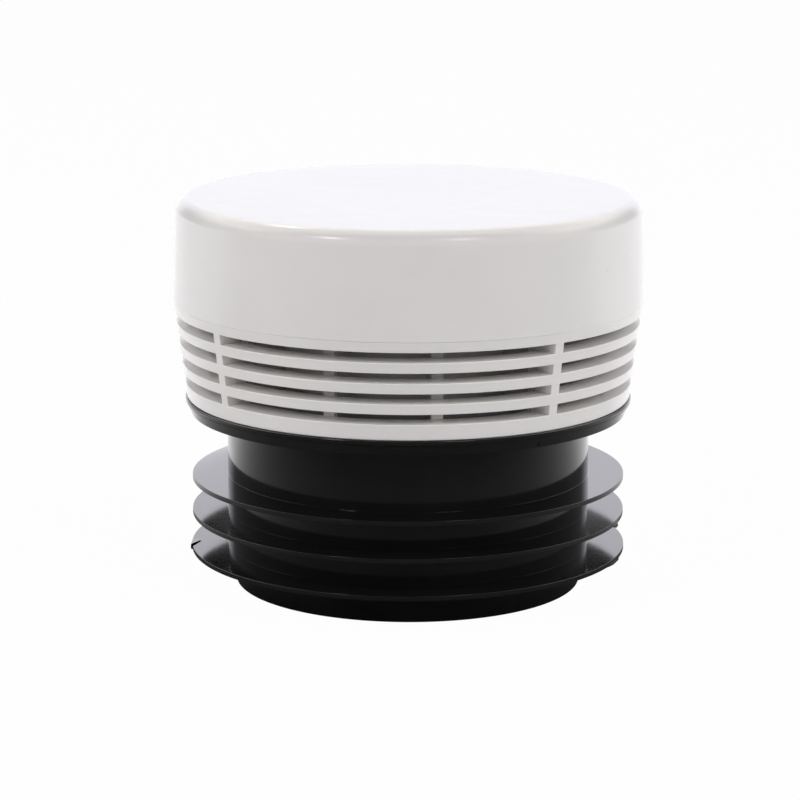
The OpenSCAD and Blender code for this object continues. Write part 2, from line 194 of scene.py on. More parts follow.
def makeMouldGrain():
    # fine grain of the mould's surface, and broad cloudy patches from the flow of the melt
    group, given, out = newGroup("mouldGrain", [("Vector", "NodeSocketVector", None),
                                                ("Grain", "NodeSocketFloat", 1500.0),
                                                ("Patches", "NodeSocketFloat", 45.0)], ["Height", "Mottle"])
    fine = addNode(group, "ShaderNodeTexNoise", {"Detail": 3.0, "Roughness": 0.55})
    broad = addNode(group, "ShaderNodeTexNoise", {"Detail": 4.0, "Roughness": 0.6, "Distortion": 0.6})
    for texture, scale, output in ((fine, "Grain", "Height"), (broad, "Patches", "Mottle")):
        link(group, (given.outputs["Vector"], texture.inputs["Vector"]),
             (given.outputs[scale], texture.inputs["Scale"]),
             (texture.outputs["Fac"], out.inputs[output]))
    return group


def makeDustSpecks():
    # round specks at a few of the cells of a random pattern
    group, given, out = newGroup("dustSpecks", [("Vector", "NodeSocketVector", None),
                                                ("Spacing", "NodeSocketFloat", 250.0),
                                                ("Size", "NodeSocketFloat", 0.06),
                                                ("Share", "NodeSocketFloat", 0.1)], ["Mask"])
    cells = addNode(group, "ShaderNodeTexVoronoi", {"Randomness": 1.0})
    near = addNode(group, "ShaderNodeMath", operation="LESS_THAN")
    chosen = addNode(group, "ShaderNodeMath", operation="LESS_THAN")
    both = addNode(group, "ShaderNodeMath", operation="MULTIPLY")
    tone = addNode(group, "ShaderNodeSeparateColor")
    link(group, (given.outputs["Vector"], cells.inputs["Vector"]),
         (given.outputs["Spacing"], cells.inputs["Scale"]),
         (cells.outputs["Distance"], near.inputs[0]),
         (given.outputs["Size"], near.inputs[1]),
         (cells.outputs["Color"], tone.inputs["Color"]),
         (tone.outputs["Red"], chosen.inputs[0]),
         (given.outputs["Share"], chosen.inputs[1]),
         (near.outputs[0], both.inputs[0]),
         (chosen.outputs[0], both.inputs[1]),
         (both.outputs[0], out.inputs["Mask"]))
    return group


def makeEdgeRubAndHighlight():
    # ridges lighter in uneven patches, partly from rubbing and partly as painted highlight, and creases that
    # hold dust
    group, given, out = newGroup("edgeRubAndHighlight", [("Edge", "NodeSocketFloat", 0.0),
                                             ("Mottle", "NodeSocketFloat", 0.5)], ["RubAndHighlight", "Dusty"])
    # the edge's sign, the mask, and the mottle from which and to which the mask grows
    for sign, output, low, high in ((1.0, "RubAndHighlight", 0.15, 0.7), (-1.0, "Dusty", 0.25, 0.7)):
        side = addNode(group, "ShaderNodeMath", {1: sign}, operation="MULTIPLY", use_clamp=True)
        uneven = addRamp(group, low, high)
        both = addNode(group, "ShaderNodeMath", operation="MULTIPLY")
        link(group, (given.outputs["Edge"], side.inputs[0]),
             (given.outputs["Mottle"], uneven.inputs["Value"]),
             (side.outputs[0], both.inputs[0]),
             (uneven.outputs["Result"], both.inputs[1]),
             (both.outputs[0], out.inputs[output]))
    return group


mouldGrain, dustSpecks, edgeRubAndHighlight = makeMouldGrain(), makeDustSpecks(), makeEdgeRubAndHighlight()
mottleSpan = (0.3, 0.7)   # most of the patches' noise lies between these
dullBy = 0.5              # added to the roughness of specks and torn faces
grainDepth = 0.1 * mm     # depth of the mould's grain at a bump of 1


def makeFinish(name, finish):
    # one moulded material: two close tones in patches, specks of dust, ridges lighter from rubbing and
    # painted highlight, and dusty creases
    material = bpy.data.materials.new(name)
    material.use_nodes = True
    tree = material.node_tree
    shader = tree.nodes["Principled BSDF"]
    shader.inputs["IOR"].default_value = finish["ior"]
    place = addNode(tree, "ShaderNodeTexCoord")
    grain = addNode(tree, "ShaderNodeGroup", {"Grain": finish["grain"], "Patches": finish["patches"]},
                    node_tree=mouldGrain)
    dust = addNode(tree, "ShaderNodeGroup", dict(zip(("Spacing", "Size", "Share"), finish["dust"])),
                   node_tree=dustSpecks)
    edgeMasks = addNode(tree, "ShaderNodeGroup", node_tree=edgeRubAndHighlight)
    edge = addNode(tree, "ShaderNodeAttribute", attribute_name="edge")
    raw = addNode(tree, "ShaderNodeAttribute", attribute_name="torn")
    link(tree, (place.outputs["Object"], grain.inputs["Vector"]),
         (place.outputs["Object"], dust.inputs["Vector"]),
         (edge.outputs["Fac"], edgeMasks.inputs["Edge"]),
         (grain.outputs["Mottle"], edgeMasks.inputs["Mottle"]))
    # tones: patches, then lighter ridges from rubbing and painted highlight, then dust in creases, then
    # specks
    tones = addNode(tree, "ShaderNodeValToRGB")
    for element, position, tone in zip(tones.color_ramp.elements, mottleSpan, finish["tones"]):
        element.position, element.color = position, (*tone, 1)
    link(tree, (grain.outputs["Mottle"], tones.inputs["Fac"]))
    colour = tones.outputs["Color"]
    for mask, tone in ((edgeMasks.outputs["RubAndHighlight"], "rubAndHighlightTone"), (edgeMasks.outputs["Dusty"], "dustTone"),
                       (dust.outputs["Mask"], "speckTone")):
        # sockets 6 and 7 of a colour mix are its two colours
        layer = addNode(tree, "ShaderNodeMix", {7: (*finish[tone], 1)}, data_type="RGBA")
        link(tree, (mask, layer.inputs[0]), (colour, layer.inputs[6]))
        colour = layer.outputs[2]
    link(tree, (colour, shader.inputs["Base Color"]))
    # gloss varies with the patches; specks and torn faces are dull
    gloss = addRamp(tree, *mottleSpan, *finish["roughness"])
    dullMask = addNode(tree, "ShaderNodeMath", operation="MAXIMUM")
    dull = addNode(tree, "ShaderNodeMath", {1: dullBy}, operation="MULTIPLY_ADD", use_clamp=True)
    link(tree, (grain.outputs["Mottle"], gloss.inputs["Value"]),
         (dust.outputs["Mask"], dullMask.inputs[0]),
         (raw.outputs["Fac"], dullMask.inputs[1]),
         (dullMask.outputs[0], dull.inputs[0]),
         (gloss.outputs["Result"], dull.inputs[2]),
         (dull.outputs[0], shader.inputs["Roughness"]))
    bump = addNode(tree, "ShaderNodeBump", {"Strength": finish["bump"], "Distance": grainDepth})
    link(tree, (grain.outputs["Height"], bump.inputs["Height"]),
         (bump.outputs["Normal"], shader.inputs["Normal"]))
    return material


# dust is the specks' spacing, size and share
finishes = {
    # the white plastic's lighter, warmer ridge tone is painted highlight on the cap's shoulder and the slot
    # edges, as well as rubbing
    "white_plastic": dict(tones=((0.85, 0.835, 0.83), (0.88, 0.865, 0.86)), roughness=(0.17, 0.22), ior=1.5,
                          grain=2200.0, patches=38.0, bump=0.06, dust=(260.0, 0.045, 0.05),
                          rubAndHighlightTone=(0.97, 0.955, 0.92), dustTone=(0.62, 0.6, 0.56),
                          speckTone=(0.45, 0.43, 0.4)),
    # the inner plastic's grey, darker than the white plastic, is painted shade for the cavity behind the
    # slots; its pale ridge tone is painted light on the web ends
    "inner_plastic": dict(tones=((0.52, 0.515, 0.505), (0.56, 0.555, 0.545)), roughness=(0.34, 0.42),
                          ior=1.49, grain=1600.0, patches=30.0, bump=0.12, dust=(220.0, 0.05, 0.08),
                          rubAndHighlightTone=(0.95, 0.94, 0.93), dustTone=(0.4, 0.39, 0.37),
                          speckTone=(0.3, 0.29, 0.27)),
    "carrier_plastic": dict(tones=((0.74, 0.74, 0.72), (0.79, 0.79, 0.77)), roughness=(0.42, 0.52), ior=1.49,
                            grain=1400.0, patches=34.0, bump=0.16, dust=(220.0, 0.05, 0.05),
                            rubAndHighlightTone=(0.82, 0.82, 0.8), dustTone=(0.55, 0.54, 0.52),
                            speckTone=(0.4, 0.39, 0.37)),
    # the rubber's ridge tone lightens its rims a little, partly as painted highlight
    "black_rubber": dict(tones=((0.006, 0.006, 0.0064), (0.009, 0.009, 0.0095)), roughness=(0.09, 0.12),
                         ior=1.5, grain=2600.0, patches=55.0, bump=0.001, dust=(240.0, 0.045, 0.03),
                         rubAndHighlightTone=(0.01, 0.01, 0.0105), dustTone=(0.008, 0.008, 0.008),
                         speckTone=(0.12, 0.117, 0.113)),
    "membrane_rubber": dict(tones=((0.36, 0.085, 0.07), (0.42, 0.105, 0.085)), roughness=(0.45, 0.55),
                            ior=1.42, grain=1800.0, patches=50.0, bump=0.15, dust=(260.0, 0.05, 0.05),
                            rubAndHighlightTone=(0.45, 0.14, 0.12), dustTone=(0.4, 0.2, 0.17),
                            speckTone=(0.55, 0.4, 0.36)),
    "gasket_rubber": dict(tones=((0.27, 0.27, 0.28), (0.32, 0.32, 0.33)), roughness=(0.6, 0.72), ior=1.5,
                          grain=1500.0, patches=60.0, bump=0.25, dust=(240.0, 0.05, 0.06),
                          rubAndHighlightTone=(0.36, 0.36, 0.365), dustTone=(0.24, 0.235, 0.23),
                          speckTone=(0.15, 0.15, 0.145)),
}
materials = {slotName: makeFinish(slotName, finish) for slotName, finish in finishes.items()}
print("finishes made:", ", ".join(materials))


# Cap: one glossy shell from the pole inside its top, round its lower edge, to the pole on top of it

capValues = dict(wall=2.4, topWall=2.4, draft=1.78, shoulder=3.7, innerShoulder=1.3, innerRound=0.2,
                 edgeRound=0.14, columns=360, roundSteps=16, topRings=23,
                 seamClose=0.05,              # the cap's edge sits almost on the grille
                 sink=0.18, sinkMargin=1.0,   # the top's middle shrinks in a little, inside the shoulder
                 ribCount=8, ribTurn=37.8, ribWidth=1.8, ribFrom=7.1, ribTo=55.37, ribDepth=5.3,
                 ribRound=0.25, ribSteps=2)


def capShellGrid(values, low, high, radius):
    # outline of the shell carried round the axis, with the drafted side r = radius - (z - low) tan(draft)
    slope = math.tan(math.radians(values["draft"]))
    innerTop = high - values["topWall"]
    innerRadius = radius - values["wall"]
    outline = roundedOutline([
        (0, innerTop),
        (innerRadius - (innerTop - low) * slope, innerTop, values["innerShoulder"]),
        (innerRadius, low, values["innerRound"]),
        (radius, low, values["edgeRound"]),
        (radius - (high - low) * slope, high, values["shoulder"]),
        (0, high)], closed=False, steps=values["roundSteps"])
    # rings across the top, so that its sink is a smooth curve
    across = np.linspace(outline[-2, 0], 0, values["topRings"] + 1)[1:]
    topRings = np.column_stack([across, np.full(len(across), high), np.zeros(len(across))])
    outline = np.concatenate([outline[:-1], topRings])
    onTop = outline[:, 1] > high - 1e-6
    inside = np.clip(1 - outline[:, 0] / (radius - values["shoulder"] - values["sinkMargin"]), 0, 1)
    outline[:, 1] -= onTop * values["sink"] * inside ** 2 * (3 - 2 * inside)
    angles = np.arange(values["columns"]) * 360 / values["columns"]
    points = aroundAxis(outline[:, :1], angles, outline[:, 1:2])
    return points, gridFaces(*points.shape[:2]), np.repeat(outline[:, 2], values["columns"])


capLow, capHigh = (np.array(corner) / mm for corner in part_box("cap"))
shell = capShellGrid(capValues, capLow[2] - capValues["seamClose"], capHigh[2], capHigh[0])
# the shell's ridges, its shoulder among them, take the lighter ridge tone with its painted highlight
capShell = makePiece("capShell", *shell, materials["white_plastic"])
ribLow = capHigh[2] - capValues["topWall"] - capValues["ribDepth"]
ribHigh = capHigh[2] - capValues["topWall"] / 2
ribPoints, ribFaces = radialPlates(capValues["ribCount"], capValues["ribTurn"], capValues["ribWidth"],
                                   capValues["ribFrom"], capValues["ribTo"], ribLow, ribHigh)
capRibs = makePiece("capRibs", ribPoints, ribFaces, np.zeros(ribPoints.shape[:2]),
                    materials["white_plastic"])
ribEdges = capRibs.modifiers.new("edges", "BEVEL")
ribEdges.width = capValues["ribRound"] * mm
ribEdges.segments = capValues["ribSteps"]
ribEdges.limit_method = "ANGLE"
for piece in (capShell, capRibs):
    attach(piece, "housing")
    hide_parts("cap")


# Grille: the flared wall with its slots, its floor, the spigot and the upstand, as one skin

grilleValues = dict(spigotIn=41.0, spigotOut=44.0, spigotRound=0.4, spigotLead=0.7,
                    holdBead=1.4, holdBeadZ=39.2, snapBead=1.0, snapBeadZ=78.95,
                    beadSunk=1 / 3, beadSteps=10,   # how much of a bead's radius lies in its wall
                    underside=50.4, undersideCrease=0.3, floorTop=53.2, floorCrease=0.5, floorRound=0.4,
                    lowRadius=58.7, lowRound=0.6, seam=75.95, edgeRound=0.14, railDepth=6.4,
                    upstandOut=59.65, upstandIn=56.85, upstandFoot=73.6, upstandRound=0.4,
                    upstandCrease=0.2, footRound=0.15,
                    slotLow=54.65, slotPitch=5.35, slotHeight=2.6, slotRows=4, slotEdge=0.25,
                    slotEdgeSteps=4, postCount=4, postTurn=37.8, postWidth=2.7, steps=72)


def grilleGrid(values, low, high, topRadius):
    # a closed outline carried round the axis, with the flared wall r = lowRadius + (z - underside) flare;
    # the cells inside each slot are left out of the outer and inner walls, and a loop that turns in round
    # the slot's edge joins the two walls
    flare = (topRadius - values["lowRadius"]) / (values["seam"] - values["underside"])
    slotRound = values["slotEdge"]
    slotLows = values["slotLow"] + np.arange(values["slotRows"]) * values["slotPitch"]
    slotHighs = slotLows + values["slotHeight"]
    outerRows = np.sort(np.concatenate([slotLows - slotRound, slotHighs + slotRound]))
    innerRows = np.sort(np.concatenate([slotLows, slotHighs]))[::-1]

    def outerAt(z):
        return values["lowRadius"] + (z - values["underside"]) * flare

    def innerAt(z):
        return outerAt(z) - values["railDepth"]

    def bead(radius, size, height):
        # the part of a round bead that stands out past a wall
        out = math.degrees(math.acos(values["beadSunk"]))
        centre = (radius - size * values["beadSunk"], height)
        return [tuple(point) for point in arcPoints(centre, size, -out, out, values["beadSteps"])]

    outline = roundedOutline(
        [(values["spigotIn"], low, values["spigotRound"]), (values["spigotOut"], low, values["spigotLead"])]
        + bead(values["spigotOut"], values["holdBead"], values["holdBeadZ"])
        + [(values["spigotOut"], values["underside"], values["undersideCrease"]),
           (values["lowRadius"], values["underside"], values["lowRound"])]
        + [(outerAt(z), z) for z in outerRows]
        + [(topRadius, values["seam"], values["edgeRound"]),
           (values["upstandOut"], values["seam"], values["upstandCrease"])]
        + bead(values["upstandOut"], values["snapBead"], values["snapBeadZ"])
        + [(values["upstandOut"], high, values["upstandRound"]),
           (values["upstandIn"], high, values["upstandRound"]),
           (values["upstandIn"], values["upstandFoot"], values["footRound"])]
        + [(innerAt(z), z) for z in innerRows]
        + [(innerAt(values["floorTop"]), values["floorTop"], values["floorCrease"]),
           (values["spigotIn"], values["floorTop"], values["floorRound"])])
    # columns: both edges of each post, each with its rounding, and even steps between the posts
    middle = (values["lowRadius"] + topRadius) / 2
    postHalf = math.degrees(math.asin(values["postWidth"] / 2 / middle))
    turnIn = math.degrees(slotRound / middle)
    span = 360 / values["postCount"]
    quarter = np.concatenate([[-postHalf, -postHalf + turnIn, 0, postHalf - turnIn, postHalf],
                              np.linspace(postHalf, span - postHalf, values["steps"] + 1)[1:-1]])
    angles = values["postTurn"] + (np.arange(values["postCount"])[:, None] * span + quarter).reshape(-1)
    columns = len(quarter)
    points = aroundAxis(outline[:, :1], angles, outline[:, 1:2])
    kept = np.ones(points.shape[:2], bool)
    # one slot's loop, from the outer wall in: a quarter round, then straight to the inner wall
    turns = np.radians(np.linspace(0, 90, values["slotEdgeSteps"] + 1))
    inset = np.append(slotRound * np.sin(turns), slotRound)
    depth = np.append(slotRound * (1 - np.cos(turns)), values["railDepth"])
    # slot edges count as ridges, so they take the lighter ridge tone with its painted highlight
    edgeOfLoop = np.append(np.ones(len(turns)), 0.0)
    loops, loopFaces, loopEdges = [], [], []
    first = len(outline) * len(angles)
    for row, post in np.ndindex(values["slotRows"], values["postCount"]):
        zLow, zHigh = slotLows[row] - slotRound, slotHighs[row] + slotRound
        lastPost, nextPost = post * columns, (post + 1) * columns
        outer = np.arange(lastPost + 3, nextPost + 2)   # columns of the slot with its rounding
        inner = np.arange(lastPost + 4, nextPost + 1)   # columns of the slot itself
        lowRow, highRow = rowAt(outline, outerAt(zLow), zLow), rowAt(outline, outerAt(zHigh), zHigh)
        kept[lowRow:highRow, outer[:-1] % len(angles)] = False
        innerTop = rowAt(outline, innerAt(slotHighs[row]), slotHighs[row])
        innerLow = rowAt(outline, innerAt(slotLows[row]), slotLows[row])
        kept[innerTop:innerLow, inner[:-1] % len(angles)] = False
        loopAngles = angles[outer % len(angles)] + 360 * (outer // len(angles))
        around = np.concatenate([loopAngles, loopAngles[::-1]])
        onTop = np.repeat([False, True], len(outer))
        turned = np.degrees(inset / middle)[:, None]
        angle = np.clip(around, loopAngles[0] + turned, loopAngles[-1] - turned)
        height = np.where(onTop, zHigh - inset[:, None], zLow + inset[:, None])
        loops.append(aroundAxis(outerAt(height) - depth[:, None], angle, height).reshape(-1, 3))
        loopFaces.append(gridFaces(len(inset), len(around)).reshape(-1, 4) + first)
        loopEdges.append(np.repeat(edgeOfLoop, len(around)))
        first += angle.size
    walls = gridFaces(*points.shape[:2], wrapRows=True)[kept]
    edges = np.repeat(outline[:, 2], len(angles))
    return (np.concatenate([points.reshape(-1, 3)] + loops),
            np.concatenate([walls.reshape(-1, 4)] + loopFaces),
            np.concatenate([edges] + loopEdges))


housingLow, housingHigh = (np.array(corner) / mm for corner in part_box("grille_housing"))
ring = grilleGrid(grilleValues, housingLow[2], housingHigh[2], housingHigh[0])
grilleRing = makePiece("grilleRing", *ring, materials["white_plastic"])
grilleFlats = grilleRing.modifiers.new("flats", "WEIGHTED_NORMAL")   # flat rails beside their round edges
grilleFlats.keep_sharp = True
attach(grilleRing, "housing")
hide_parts("grille_housing")


# Web ends: the outer ends of the seat body's webs, which stand on the floor and show in every slot

webValues = dict(count=12, turn=37.8, width=2.9, inner=51.0, outer=52.9, low=53.4, high=73.2,
                 endHighlight=1.0)   # pale ends: painted light where light through the slots falls on them

webPoints, webFaces = radialPlates(webValues["count"], webValues["turn"], webValues["width"],
                                   webValues["inner"], webValues["outer"],
                                   webValues["low"], webValues["high"])
# every point of the ends counts as a full ridge, so they take the pale ridge tone as painted light
webEdges = np.full(webPoints.shape[:2], webValues["endHighlight"])
webEnds = makePiece("webEnds", webPoints, webFaces, webEdges, materials["inner_plastic"])
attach(webEnds, "housing")


# Sleeve: collar, neck, three fins, foot and inner lips as one skin, with its tear, flash and nick

sleeveValues = dict(
    edgeRound=0.3, stopRound=0.4, innerRound=0.5, roundSteps=3,
    footIn=42.0, footOut=46.0, footTop=46.15, footRound=0.25, step=8.6, neck=48.1, neckFillet=0.8,
    # fins, from the lowest up, each with rings of points (from, to, count)
    finRadius=57.5, finTops=(10.2, 19.85, 29.5), finRise=0.1, rimThick=1.25, rootThick=1.5, finFillet=0.05,
    rimTop=0.1, rimLow=0.15, finRings=((54.6, 57.15, 16), (51.1, 56.3, 4), (51.1, 56.3, 4)),
    # collar, with a bead round its top
    collarLow=46.4, collarDraw=1.05, collarRound=0.25,
    beadLow=49.2, beadStep=0.35, beadRound=0.3, beadCrease=0.12,
    # inside: the spigot's hole with a groove for its bead, the pipe's stop and the lips
    spigotHole=44.1, spigotStop=28.0, grooveRadius=43.533, grooveZ=39.2, grooveRound=1.5, grooveSteps=10,
    stopIn=35.5, stopThick=3.0,
    lipRadius=36.5, lipRoots=(2.5, 10.5, 18.5), lipRise=2.5, lipTip=1.2, lipRoot=1.8,
    # columns as (from, to, step) in degrees: even, and closer at the tear, the flash and the nick
    columns=((-180, 180, 1.5), (-179.5, -169, 0.16), (-29, -14, 0.4), (-57.4, -54.4, 0.15)),
    # soft rims never lie quite level: spread, and how far and where each one sags
    finSpread=(0.35, 0.05, 0.0), finSag=(0.25, 0.15, 0.6), finSagAngle=(-160, -160, 140), waviness=0.03,
    finBand=1.6, rimBand=0.4, slack=0.1,   # what counts as a fin, as its rim, and as close to it
    # tear in the lowest fin, between two places (radius, angle), and the flap behind it
    tearFrom=(58.3, -171.3), tearTo=(55.4, -177.1), tearWidth=0.22, tearDepth=0.7,
    tearInner=54.0, tearBand=1.0,   # the part of the fin that can be torn
    flapFrom=54.2, flapRamp=2.5, flapLift=0.3, flapOut=0.7, flapLength=9.0, flapCurve=1.5,
    # flash: a ragged tag under the middle rim and a film under the lowest one; waves are (share, rate)
    tagAngle=-18.0, tagSpread=1.9, tagOut=0.45, tagDrop=0.8, tagWave=(0.3, 4.7), tagRaw=2.0,
    flashFrom=-26.0, flashTo=-15.6, flashRamps=(4.0, 0.4), flashOut=0.25, flashDrop=0.3,
    flashWaves=((0.1, 3.1), (0.05, 8.3)), flashFade=0.6,
    # nick in the collar's lower edge
    nickAngle=-55.9, nickSpread=0.25, nickDepth=0.35, nickBand=0.5, nickReach=0.4)


def sleeveOutline(values, high, collarRadius):
    # closed outline of the sleeve: from its foot out and up over the fins to the collar, and down inside
    neck, fin = values["neck"], values["finRadius"]
    edgeRound, stopRound, innerRound = values["edgeRound"], values["stopRound"], values["innerRound"]
    corners = [(values["footIn"], 0, innerRound), (values["footOut"], 0, values["footRound"]),
               (values["footTop"], values["step"], edgeRound)]
    for index, top in enumerate(values["finTops"]):
        root, rimUnder = top - values["finRise"], top - values["rimThick"]
        rootUnder = root - values["rootThick"]
        rings = np.linspace(*values["finRings"][index])
        outward = (rings - neck) / (fin - neck)
        under = rootUnder + outward * (rimUnder - rootUnder)
        over = root + outward * values["finRise"]
        # the lowest fin's underside runs on from the step, so it has no crease
        corners += [(neck, rootUnder, edgeRound if index else 0)]
        corners += list(zip(rings, under))
        corners += [(fin, rimUnder, values["rimLow"]), (fin, top, values["rimTop"])]
        corners += list(zip(rings, over))[::-1]
        corners += [(neck, root, values["finFillet"])]
    beadRadius = collarRadius - values["beadStep"]
    corners += [(neck, values["collarLow"], values["neckFillet"]),
                (beadRadius - values["collarDraw"], values["collarLow"], values["collarRound"]),
                (beadRadius, values["beadLow"], values["beadCrease"]),
                (collarRadius, values["beadLow"], values["beadRound"]),
                (collarRadius, high, edgeRound), (values["spigotHole"], high, edgeRound)]
    turn = math.degrees(math.acos((values["spigotHole"] - values["grooveRadius"]) / values["grooveRound"]))
    groove = arcPoints((values["grooveRadius"], values["grooveZ"]), values["grooveRound"], turn, -turn,
                       values["grooveSteps"])
    corners += [tuple(point) for point in groove]
    stopTop, stopLow = values["spigotStop"], values["spigotStop"] - values["stopThick"]
    corners += [(values["spigotHole"], stopTop, edgeRound), (values["stopIn"], stopTop, stopRound),
                (values["stopIn"], stopLow, stopRound), (values["footIn"], stopLow, innerRound)]
    for root in values["lipRoots"][::-1]:
        tip = root + values["lipRise"]
        corners += [(values["footIn"], root + values["lipRoot"], stopRound),
                    (values["lipRadius"], tip + values["lipTip"], edgeRound),
                    (values["lipRadius"], tip, edgeRound), (values["footIn"], root, stopRound)]
    return roundedOutline(corners, steps=values["roundSteps"])


def sleeveGrid(values, high, collarRadius):
    # the outline carried round the axis, with r and z of the fins and the collar moved at the marks
    neck, fin = values["neck"], values["finRadius"]
    lowTop, middleTop = values["finTops"][:2]
    halfRim = values["rimThick"] / 2
    outline = sleeveOutline(values, high, collarRadius)
    angles = np.unique(np.round(np.concatenate([np.arange(*span) for span in values["columns"]]), 3))
    plainRadius, plainHeight = outline[:, :1] + 0 * angles, outline[:, 1:2] + 0 * angles
    radius, height = plainRadius.copy(), plainHeight.copy()
    # tear: a slit from the rim inwards; behind it the rim is a flap, pushed out and lifted at its free end
    onLow = np.abs(plainHeight - lowTop + halfRim) < values["tearBand"]
    onLow = onLow & (plainRadius > values["tearInner"])
    place = aroundAxis(plainRadius, angles, 0 * plainRadius)[..., :2]
    start, end = (aroundAxis(r, angle, 0.0)[:2] for r, angle in (values["tearFrom"], values["tearTo"]))
    along = np.clip(((place - start) @ (end - start)) / ((end - start) @ (end - start)), 0, 1)
    off = np.linalg.norm(place - start - along[..., None] * (end - start), axis=-1)
    slit = onLow * np.clip(1 - off / values["tearWidth"], 0, 1)
    slitAngle = values["tearFrom"][1] + (values["tearTo"][1] - values["tearFrom"][1]) * along
    behind = (values["tearFrom"][1] - angles) % 360   # degrees round the rim from the flap's free end
    flap = onLow & ((slitAngle - angles) % 360 < 180) & (behind < values["flapLength"])
    free = np.clip(1 - behind / values["flapLength"], 0, 1) ** values["flapCurve"]
    loose = flap * free * np.clip((plainRadius - values["flapFrom"]) / values["flapRamp"], 0, 1)
    radius += loose * values["flapOut"]
    height += loose * values["flapLift"] - (plainHeight > lowTop - halfRim) * slit * values["tearDepth"]
    # each soft rim spreads, sags and waves a little in its own way, more towards its edge
    outward = np.clip((plainRadius - neck) / (fin - neck), 0, 1) ** 2
    turned = np.radians(angles)
    for index, top in enumerate(values["finTops"]):
        onFin = np.abs(plainHeight - top + values["rootThick"] / 2) < values["finBand"]
        onFin = onFin & (plainRadius > neck + values["slack"])
        sag = np.clip(np.cos(turned - math.radians(values["finSagAngle"][index])), 0, 1) ** 2
        wave = np.sin(2 * turned + 1.7 * index) + 0.6 * np.sin(5 * turned + 0.8 + index)
        height += onFin * outward * (values["waviness"] * wave - values["finSag"][index] * sag)
        radius += onFin * outward * values["finSpread"][index]

    def underRim(top):
        # 1 at the lower edge of a rim, and 0 from its middle up
        onRim = np.abs(plainHeight - top + halfRim) < halfRim + values["slack"]
        onRim = onRim & (plainRadius > fin - values["rimBand"])
        return onRim * np.clip((top - values["flashFade"] - plainHeight) / values["flashFade"], 0, 1)

    # flash: the tag is round and ragged, and the film fades out at both ends
    share, rate = values["tagWave"]
    tag = np.clip(1 - ((angles - values["tagAngle"]) / values["tagSpread"]) ** 2, 0, 1) ** 0.5
    tag = underRim(middleTop) * tag * (1 - share + share * np.sin(angles * rate))
    ramps = values["flashRamps"]
    film = np.minimum((angles - values["flashFrom"]) / ramps[0], (values["flashTo"] - angles) / ramps[1])
    uneven = 1 + sum(share * (np.sin(angles * rate) - 1) for share, rate in values["flashWaves"])
    film = underRim(lowTop) * np.clip(film, 0, 1) * uneven
    radius += tag * values["tagOut"] + film * values["flashOut"]
    height -= tag * values["tagDrop"] + film * values["flashDrop"]
    torn = np.clip(np.maximum(tag * values["tagRaw"], slit), 0, 1)
    # nick: a small dent in the collar's lower edge
    edgeRadius = collarRadius - values["beadStep"] - values["collarDraw"] - values["nickReach"]
    onEdge = (np.abs(plainHeight - values["collarLow"]) < values["nickBand"]) & (plainRadius > edgeRadius)
    dent = np.exp(-((angles - values["nickAngle"]) / values["nickSpread"]) ** 2)
    nick = onEdge * dent * values["nickDepth"]
    height += nick
    radius -= nick
    points = aroundAxis(radius, angles, height)
    return points, gridFaces(*points.shape[:2], wrapRows=True), np.repeat(outline[:, 2], len(angles)), torn


_, sleeveHigh = (np.array(corner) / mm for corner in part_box("rubber_sleeve"))
sleevePoints, sleeveFaces, sleeveEdges, sleeveTorn = sleeveGrid(sleeveValues, sleeveHigh[2], sleeveHigh[0])
finnedSleeve = makePiece("finnedSleeve", sleevePoints, sleeveFaces, sleeveEdges, materials["black_rubber"],
                         sharpAngle=50, torn=sleeveTorn)
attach(finnedSleeve, "housing")
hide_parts("rubber_sleeve")


# The pieces inside keep their solids and get their finishes

for subpart in frame["record"]["subparts"]:
    node = frame["nodes"][subpart["node"]]
    for materialSlot in node.material_slots:
        materialSlot.material = materials[subpart["material_slot"]]
print("solids inside finished")


# Camera, floor and light

cameraValues = dict(sensor=36.0, lens=141.3, near=0.01, far=50.0, place=(-0.00217, -0.8181, 0.2256),
                    down=12.235, roll=0.132)   # degrees
camera = bpy.data.objects.new("camera", bpy.data.cameras.new("camera"))
camera.data.sensor_width, camera.data.lens = cameraValues["sensor"], cameraValues["lens"]
camera.data.clip_start, camera.data.clip_end = cameraValues["near"], cameraValues["far"]
camera.location = cameraValues["place"]
camera.rotation_mode = "ZYX"   # the small roll first, then the pitch
camera.rotation_euler = (math.radians(90 - cameraValues["down"]), 0, math.radians(cameraValues["roll"]))
scene.collection.objects.link(camera)
scene.camera = camera

floorValues = dict(size=6.0, colour=(0.92, 0.92, 0.92), ownLight=0.98,
                   # level in gloss: dark close to the object as a painted shadow, dim in front and bright
                   # behind
                   nearShadow=0.02, front=0.11, frontFrom=0.035, frontTo=0.075, frontY=-0.25,
                   behind=1.3, behindFrom=0.07, behindTo=0.14, behindY=0.12, squeeze=(1, 0.6, 1), curve=3.0)


